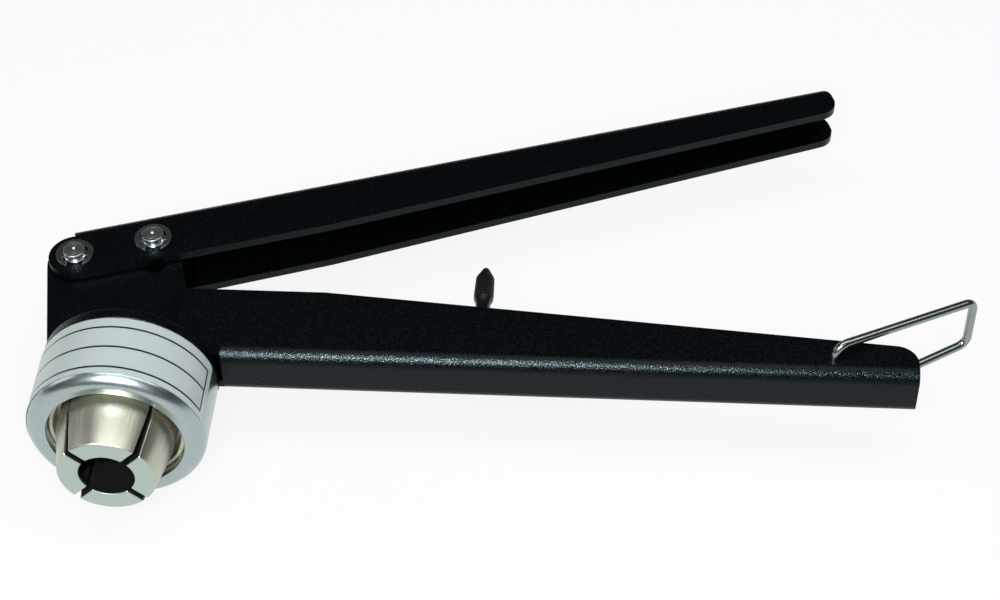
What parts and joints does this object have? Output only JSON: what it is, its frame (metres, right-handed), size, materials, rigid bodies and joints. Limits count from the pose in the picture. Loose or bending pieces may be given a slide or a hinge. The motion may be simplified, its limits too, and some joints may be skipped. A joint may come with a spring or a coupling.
{
  "type": "vial decapper",
  "caption": "Hand-held decapper: a lever drives a cone between four rocking jaws that open a crimped vial cap; a wire bail locks the handles.",
  "frame": {"origin": "on the head's axis at the jaws' end face, on the tool's plane of symmetry", "axes": "+X along the fixed handle away from the head, +Y along the head's axis from the jaws to the lever, +Z across the tool; it lies on its side"},
  "size_m": [0.2115, 0.1253, 0.0393],
  "materials": {
    "powder_coat": "black, finely textured",
    "turned_steel": "bright turned steel",
    "nickel": "warm satin nickel plate",
    "bronze": "plain bearing bronze",
    "zinc": "bright zinc plate",
    "spring_steel": "bright spring wire",
    "bail_wire": "bright bent wire",
    "label_paper": "white sticker with thin black lines",
    "black_screw": "black oxide, knurled",
    "elastomer": "black rubber",
    "hardened_steel": "ground hardened steel"
  },
  "bodies": {
    "frame": {"fixed_handle": "powder_coat", "head_collar": "powder_coat", "plunger_guide": "bronze", "sleeve": "turned_steel", "label": "label_paper", "guide_bush": "nickel", "fulcrum_ring": "hardened_steel", "jaw_return_ring": "elastomer", "pivot_pin": "zinc", "pivot_pin_clips": "zinc", "pivot_washers": "zinc", "torsion_spring": "spring_steel", "stop_nut": "zinc"},
    "lever": {"lever": "powder_coat", "drive_pin": "zinc", "drive_pin_clips": "zinc"},
    "plunger": {"plunger": "powder_coat", "closing_cone": "hardened_steel", "cone_clip": "zinc", "pusher_pad": "elastomer"},
    "stop_screw": {"stop_screw": "black_screw"},
    "bail": {"bail": "bail_wire"},
    "jaw_1": {"jaw_1": "nickel"},
    "jaw_2": {"jaw_2": "nickel"},
    "jaw_3": {"jaw_3": "nickel"},
    "jaw_4": {"jaw_4": "nickel"}
  },
  "joints": [
    {"name": "lever_hinge", "type": "hinge", "parent": "frame", "child": "lever", "pos_m": [-0.01716, 0.0587, 0], "axis": [0, 0, -1], "range_deg": [0, 18.5], "stiffness_Nm_per_rad": 0.25, "springref_deg": -20.05, "deforming": ["torsion_spring"]},
    {"name": "plunger_slide", "type": "slide", "parent": "frame", "child": "plunger", "axis": [0, -1, 0], "range_m": [0, 0.00575]},
    {"name": "jaw_1_rock", "type": "hinge", "parent": "frame", "child": "jaw_1", "pos_m": [0.01185, 0.0165, 0], "axis": [0, 0, -1], "range_deg": [0, 2]},
    {"name": "jaw_2_rock", "type": "hinge", "parent": "frame", "child": "jaw_2", "pos_m": [0, 0.0165, -0.01185], "axis": [-1, 0, 0], "range_deg": [0, 2]},
    {"name": "jaw_3_rock", "type": "hinge", "parent": "frame", "child": "jaw_3", "pos_m": [-0.01185, 0.0165, 0], "axis": [0, 0, 1], "range_deg": [0, 2]},
    {"name": "jaw_4_rock", "type": "hinge", "parent": "frame", "child": "jaw_4", "pos_m": [0, 0.0165, 0.01185], "axis": [1, 0, 0], "range_deg": [0, 2]},
    {"name": "stop_screw_adjust", "type": "slide", "parent": "frame", "child": "stop_screw", "axis": [0, 1, 0], "range_m": [-0.004, 0]},
    {"name": "bail_swing", "type": "hinge", "parent": "frame", "child": "bail", "pos_m": [0.1549, 0.03525, 0], "axis": [0, 0, 1], "range_deg": [-190, 76]}
  ],
  "couplings": [
    {"joint": "plunger_slide", "follows": "lever_hinge", "m_per_rad": 0.017787},
    {"joint": "jaw_1_rock", "follows": "lever_hinge", "ratio": 0.10811},
    {"joint": "jaw_2_rock", "follows": "lever_hinge", "ratio": 0.10811},
    {"joint": "jaw_3_rock", "follows": "lever_hinge", "ratio": 0.10811},
    {"joint": "jaw_4_rock", "follows": "lever_hinge", "ratio": 0.10811}
  ]
}
